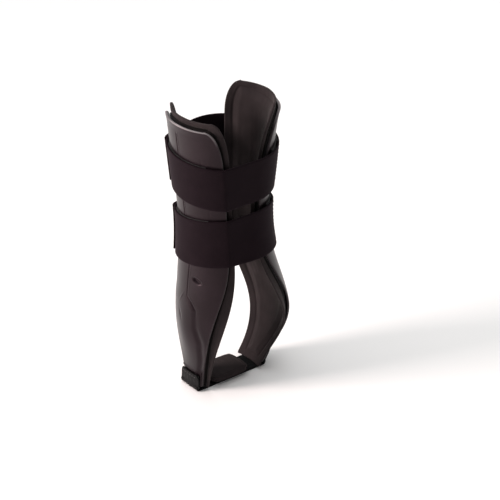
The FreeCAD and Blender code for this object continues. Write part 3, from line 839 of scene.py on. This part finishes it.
def makeStrap(level):
    size = strapSize[level]
    name = level + "_strap"
    # Front: from the lateral shell's back edge round to the tab.
    backEdge = -np.radians(curves["lateral"]["back"](strapRows(level)))
    path = tailPath(level, 1, backEdge, strapSize["tabFold"] + 1.2)
    path = smoothAlong(evenPath(path, strapSize["frontPoints"]), 2)
    front = ribbon(level + "StrapFront", path, layers["strap"])
    finishPiece(front, laminate, None, "webbing", name + "_band", name + "_front")
    blendFold(front, level, 1)

    # Rear: sewn under the band's back end, then round the back to the medial shell.
    count = strapSize["rearPoints"]
    lap = np.radians(strapSize["rearLap"]) + 0 * strapRows(level)
    path = evenPath(tailPath(level, -1, lap, strapSize["rearEnd"]), count)
    under = smoothStep(9, 3, np.arange(count)[None, :, None])
    normal = gridNormals(path)
    outwards = np.sign((normal[:, :1, :1] * path[:, :1, :1]).mean())
    path = smoothAlong(path + normal * outwards * under * strapSize["lapDrop"], 3)
    rear = ribbon(level + "StrapRear", path, layers["strap"])
    finishPiece(rear, laminate, None, "webbing", name + "_rear")
    blendFold(rear, level, -1)
    for number, column in ((1, 6), (2, 12)):
        sewThrough(f"{level}LapStitch{number}", path, column, "lateral_side")

    # Tab: the tail's end, with rounded corners.
    rows = strapRows(level, 40)
    u = np.linspace(0, 1, 40)[None, :]
    phiStart, phiEnd = math.radians(strapSize["tabFold"] + 2.2), math.radians(strapSize["tabEnd"])
    half = np.abs(2 * (rows - size["low"]) / (size["high"] - size["low"]) - 1)
    corner = strapSize["tabCorner"] * (1 - np.sqrt(1 - np.clip((half - 0.74) / 0.26, 0, 1) ** 2.2))
    stop = phiEnd + corner / strapSize["tabRadius"]
    tab = sloped(level, "medial", phiStart + (stop - phiStart) * u, rows, tailOffset)
    piece = ribbon(level + "StrapTab", tab, layers["strap"])
    finishPiece(piece, laminate, None, "webbing", name + "_tab")
    for number, column in ((1, 6), (2, 11)):
        sewThrough(f"{level}TabStitch{number}", tab, column, level + "_front_tab")
    zMid = np.array((size["low"] + size["high"]) / 2)
    root = layerPoint("medial", math.radians(strapSize["tabFold"] + 0.5), zMid, tailOffset) * mm
    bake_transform(piece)


for level in ("upper", "lower"):
    makeStrap(level)
print("straps made")


# heel strap and heel rest

heel = dict(halfWidth=11.5, thickness=1.6, lift=0.4, foldRadius=2.2, tabBottom=3.2, tabTop=17,
            tabBack=-11.2, tabFront=10.8, tabCorner=4.5, tabRadius=58, tabWidth=21,
            restHalf=(20.6, 15.6), restBottom=2.7, restTop=8.0, restCrown=0.7)


def makeHeelStrap(side):
    # Half of the strap: flat under the heel, then up a quarter circle beside the shell. Its end
    # is a tab that lies against the shell's outer face.
    h = heel
    sign = signOf[side]
    offset = layers["patch"] + layers["gap"] + h["lift"] + h["thickness"] / 2
    wall = curves[side]["side"](4.0) + offset
    r = h["foldRadius"]
    turn = np.linspace(0, math.pi / 2, 14)
    flat = np.linspace(0, wall - r, 60)
    x = np.concatenate([flat, wall - r + r * np.sin(turn[1:])])
    z = np.concatenate([0 * flat, r - r * np.cos(turn[1:])]) + h["thickness"] / 2
    x, z = np.append(x, wall + 0.15), np.append(z, z[-1] + 1.2)
    y = np.linspace(-h["halfWidth"] + 0.5, h["halfWidth"] - 0.5, 26)
    middle = np.stack(np.broadcast_arrays(sign * x[:, None], y[None, :], z[:, None]), -1)
    s = np.concatenate([[0], np.cumsum(np.hypot(np.diff(x), np.diff(z)))])
    uv = np.stack(np.broadcast_arrays(y[None, :], s[:, None]), -1)
    piece = ribbon(side + "HeelStrap", middle, h["thickness"], uvGrid=uv)
    finishPiece(piece, webbing, None, "webbing")
    if side == "lateral":
        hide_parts("heel_strap_base")
    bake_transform(piece)

    rise = spread(h["tabBottom"], h["tabTop"] - 0.5, 0.5)[:, None]
    t = spread(0, 1, 1 / 44)[None, :]
    toTop = np.clip((rise - (h["tabTop"] - h["tabCorner"])) / h["tabCorner"], 0, 1)
    trim = h["tabCorner"] * (1 - np.sqrt(1 - np.minimum(toTop, 0.99) ** 2)) / h["tabRadius"]
    front = math.radians(h["tabFront"]) - trim
    back = math.radians(h["tabBack"]) + trim * 0.6
    phi, z = back + (front - back) * t, rise + 0 * t
    middle = layerPoint(side, phi, z, offset)
    uv = np.stack(np.broadcast_arrays(t * h["tabWidth"], z), -1)
    tab = ribbon(side + "HeelTab", middle, h["thickness"], uvGrid=uv)
    finishPiece(tab, webbing, None, "webbing", side + "_heel_tab")
    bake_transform(tab)
    line = middle[-5, 3:-3]
    up = layerPoint(side, phi, z, offset + 1)[-5, 3:-3] - line
    row = stitchRow(side + "HeelTabStitch", line + up * (h["thickness"] / 2 + 0.05), up,
                    pitch=2.8, length=2.1, radius=0.22)
    finishPiece(row, thread, side + "_heel_tab", "webbing")


def makeHeelRest():
    # A crowned cushion: a rounded rectangle whose rim tucks under, domed a little on top.
    h = heel
    u = np.linspace(-1, 1, 70)[:, None]
    v = np.linspace(-1, 1, 60)[None, :]
    # Square to rounded box: pulls the grid's corners in.
    pull = 1 - 0.16 * (u ** 4 * v ** 4) - 0.03 * (u * v) ** 2
    x, y = h["restHalf"][0] * u * pull * 0.965, h["restHalf"][1] * v * pull * 0.955
    edge = np.maximum(np.abs(u), np.abs(v))
    middle = (h["restBottom"] + h["restTop"]) / 2
    half = (h["restTop"] - h["restBottom"]) / 2 - 0.1
    rounded = np.sqrt(np.clip(1 - np.clip((edge - 0.8) / 0.2, 0, 1) ** 2, 0.12, 1))
    seam = 0.35 * ridge(edge - 0.82, 0.03)
    crown = h["restCrown"] * (ridge(u, 0.8) * ridge(v, 0.8) - 0.5) * 0.8
    top = middle + half * rounded - seam + crown
    bottom = middle - half * rounded
    outer = np.stack(np.broadcast_arrays(x, y, top), -1)
    inner = np.stack(np.broadcast_arrays(x, y, bottom), -1)
    uv = np.stack(np.broadcast_arrays(x, y), -1)
    rest = slabMesh("heelRest", outer, inner, 1.0, 4, uv)
    finishPiece(rest, tricot, "heel", "lining", "heel_pad_foam", "heel_pad_lining")


for side in ("lateral", "medial"):
    makeHeelStrap(side)
makeHeelRest()
print("heel strap made")


# patches that stay as the frame has them

for node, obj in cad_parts.items():
    if node.endswith("_hook"):
        obj.data.materials.clear()
        obj.data.materials.append(hookTape)
    elif node.endswith("_patch"):
        obj.data.materials.clear()
        obj.data.materials.append(loopTape)
print("patches finished")


# floor, light and camera

stageLook = dict(floor="#fbfaf9", half=3000, world="#f7f7f8", worldStrength=0.22)


def makeFloor():
    corners = np.array([[-1, -1, 0], [1, -1, 0], [1, 1, 0], [-1, 1, 0]]) * stageLook["half"]
    floor = makeMesh("floor", corners.astype(float), np.array([[0, 1, 2, 3]]))
    material, _, shader = newMaterial("matFloor", Roughness=0.9, Specular_IOR_Level=0.1)
    shader.inputs["Base Color"].default_value = linear(stageLook["floor"])
    floor.data.materials.append(material)


lamps = dict(
    # name: place, aimed at, size, watts, colour
    leftWindow=((-1.05, 0.42, 0.5), (0, 0, 0.1), 0.35, 19, "#fff1ee"),
    frontFill=((0.5, -1.5, 0.9), (0, 0, 0.13), 0.9, 1.6, "#fff8f6"),
    overhead=((-0.1, 0.3, 2.3), (0, 0.1, 0), 2.6, 46, "#ffffff"),
    rightEdge=((1.2, 0.5, 0.7), (0, 0, 0.15), 0.7, 2.5, "#ffffff"),
)


def aimAt(obj, place, target):
    # Points an object's -Z at a target, with its top kept upwards.
    back = unit(np.array(place, float) - np.array(target, float))
    right = unit(np.cross([0, 0, 1.0], back))
    up = np.cross(back, right)
    rows = [[float(v) for v in (right[k], up[k], back[k], place[k])] for k in range(3)]
    obj.matrix_world = Matrix(rows + [[0, 0, 0, 1]])


def makeLights():
    for name, (place, target, size, watts, colour) in lamps.items():
        lamp = bpy.data.lights.new(name, "AREA")
        lamp.size, lamp.energy, lamp.color = size, watts, linear(colour)[:3]
        obj = bpy.data.objects.new(name, lamp)
        bpy.context.scene.collection.objects.link(obj)
        aimAt(obj, place, target)
    world = bpy.data.worlds.new("studio")
    world.use_nodes = True
    world.node_tree.nodes["Background"].inputs["Color"].default_value = linear(
        stageLook["world"])
    world.node_tree.nodes["Background"].inputs["Strength"].default_value = (
        stageLook["worldStrength"])
    bpy.context.scene.world = world


view = dict(azimuth=-38, elevation=29, distance=1.7, lens=146.9, aim=(0.0162, -0.0178, 0.1236))


def makeCamera():
    a, e = math.radians(view["azimuth"]), math.radians(view["elevation"])
    back = np.array([math.sin(a) * math.cos(e), -math.cos(a) * math.cos(e), math.sin(e)])
    camera = bpy.data.cameras.new("camera")
    camera.lens, camera.sensor_width = view["lens"], 36
    camera.clip_start, camera.clip_end = 0.05, 20
    obj = bpy.data.objects.new("camera", camera)
    bpy.context.scene.collection.objects.link(obj)
    aimAt(obj, np.array(view["aim"]) + back * view["distance"], view["aim"])
    bpy.context.scene.camera = obj


makeFloor()
makeLights()
makeCamera()
bpy.context.scene.view_settings.view_transform = "Standard"
print("stage set")
